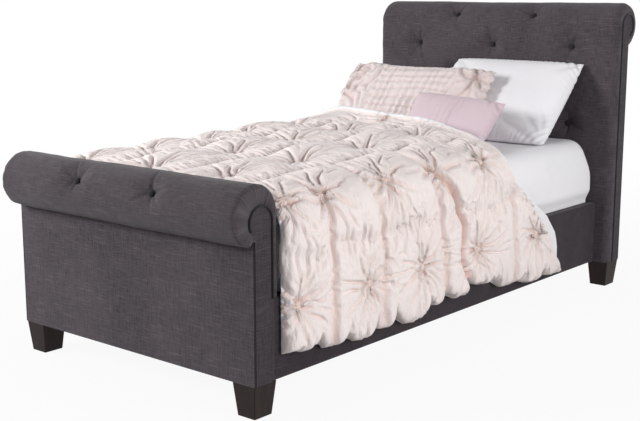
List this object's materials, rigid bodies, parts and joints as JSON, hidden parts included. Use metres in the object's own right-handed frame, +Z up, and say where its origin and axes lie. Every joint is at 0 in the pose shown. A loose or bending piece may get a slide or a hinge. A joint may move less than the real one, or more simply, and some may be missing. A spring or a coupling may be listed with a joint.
{
  "type": "sleigh bed",
  "caption": "Upholstered twin sleigh bed with rolled, button-tufted headboard and footboard, padded side rails, mattress, ruched comforter and pillows.",
  "frame": {"origin": "on the floor, in the middle of the bed's length and width", "axes": "+Z up, +Y from the footboard to the headboard, +X to the right of someone facing the headboard"},
  "size_m": [1.184, 2.2949, 1.1499],
  "materials": {
    "charcoal_linen": "matte",
    "espresso_wood": "satin",
    "frame_timber": "matte",
    "slat_pine": "matte",
    "roll_tube": "matte",
    "zinc_steel": "satin",
    "glide_plastic": "matte",
    "webbing": "matte",
    "mattress_ticking": "matte",
    "white_cotton": "matte",
    "blush_cotton": "matte",
    "pink_sateen": "satin"
  },
  "bodies": {
    "frame": {"beam_hangers": "zinc_steel", "bracket_bolts": "zinc_steel", "centre_beam": "frame_timber", "foot_support_leg": "frame_timber", "footboard_bottom_stretcher": "frame_timber", "footboard_buttons": "charcoal_linen", "footboard_inner_board": "frame_timber", "footboard_left_end_panel": "charcoal_linen", "footboard_left_leg": "espresso_wood", "footboard_left_welt": "charcoal_linen", "footboard_outer_panel": "charcoal_linen", "footboard_pad": "charcoal_linen", "footboard_right_end_panel": "charcoal_linen", "footboard_right_leg": "espresso_wood", "footboard_right_welt": "charcoal_linen", "footboard_roll_former": "roll_tube", "footboard_top_stretcher": "frame_timber", "head_support_leg": "frame_timber", "headboard_back_panel": "charcoal_linen", "headboard_bottom_stretcher": "frame_timber", "headboard_buttons": "charcoal_linen", "headboard_front_board": "frame_timber", "headboard_left_end_panel": "charcoal_linen", "headboard_left_leg": "espresso_wood", "headboard_left_welt": "charcoal_linen", "headboard_pad": "charcoal_linen", "headboard_right_end_panel": "charcoal_linen", "headboard_right_leg": "espresso_wood", "headboard_right_welt": "charcoal_linen", "headboard_roll_former": "roll_tube", "headboard_top_stretcher": "frame_timber", "left_ledger": "frame_timber", "left_rail_board": "frame_timber", "left_rail_cover": "charcoal_linen", "leg_bolts": "zinc_steel", "rail_brackets": "zinc_steel", "right_ledger": "frame_timber", "right_rail_board": "frame_timber", "right_rail_cover": "charcoal_linen", "slat_01": "slat_pine", "slat_02": "slat_pine", "slat_03": "slat_pine", "slat_04": "slat_pine", "slat_05": "slat_pine", "slat_06": "slat_pine", "slat_07": "slat_pine", "slat_08": "slat_pine", "slat_09": "slat_pine", "slat_10": "slat_pine", "slat_straps": "webbing"},
    "mattress": {"mattress": "mattress_ticking", "fitted_sheet": "white_cotton"},
    "comforter": {"comforter": "blush_cotton"},
    "white_pillow": {"white_pillow": "white_cotton"},
    "ruched_sham": {"ruched_sham": "blush_cotton"},
    "accent_pillow": {"accent_pillow": "pink_sateen"},
    "foot_glide": {"foot_support_glide": "glide_plastic"},
    "foot_stud": {"foot_support_stud": "zinc_steel"},
    "head_glide": {"head_support_glide": "glide_plastic"},
    "head_stud": {"head_support_stud": "zinc_steel"}
  },
  "joints": [
    {"name": "mattress_lift", "type": "slide", "parent": "frame", "child": "mattress", "axis": [0, 0, 1], "range_m": [0, 0.4]},
    {"name": "comforter_lift", "type": "slide", "parent": "mattress", "child": "comforter", "axis": [0, 0, 1], "range_m": [0, 0.4]},
    {"name": "accent_pillow_lift", "type": "slide", "parent": "mattress", "child": "accent_pillow", "axis": [0, 0, 1], "range_m": [0, 0.4]},
    {"name": "ruched_sham_lift", "type": "slide", "parent": "mattress", "child": "ruched_sham", "axis": [0, 0.5, 0.866], "range_m": [0, 0.28]},
    {"name": "white_pillow_pull", "type": "slide", "parent": "mattress", "child": "white_pillow", "axis": [1, 0, 0], "range_m": [0, 0.6]},
    {"name": "foot_glide_rise", "type": "slide", "parent": "frame", "child": "foot_glide", "axis": [0, 0, 1], "range_m": [0, 0.009]},
    {"name": "foot_stud_turn", "type": "hinge", "parent": "foot_glide", "child": "foot_stud", "pos_m": [0, -0.4935, 0.02], "axis": [0, 0, 1], "range_deg": [0, 2600]},
    {"name": "head_glide_rise", "type": "slide", "parent": "frame", "child": "head_glide", "axis": [0, 0, 1], "range_m": [0, 0.009]},
    {"name": "head_stud_turn", "type": "hinge", "parent": "head_glide", "child": "head_stud", "pos_m": [0, 0.4665, 0.02], "axis": [0, 0, 1], "range_deg": [0, 2600]}
  ],
  "couplings": [
    {"joint": "foot_stud_turn", "follows": "foot_glide_rise", "rad_per_m": 5026.5},
    {"joint": "head_stud_turn", "follows": "head_glide_rise", "rad_per_m": 5026.5}
  ]
}
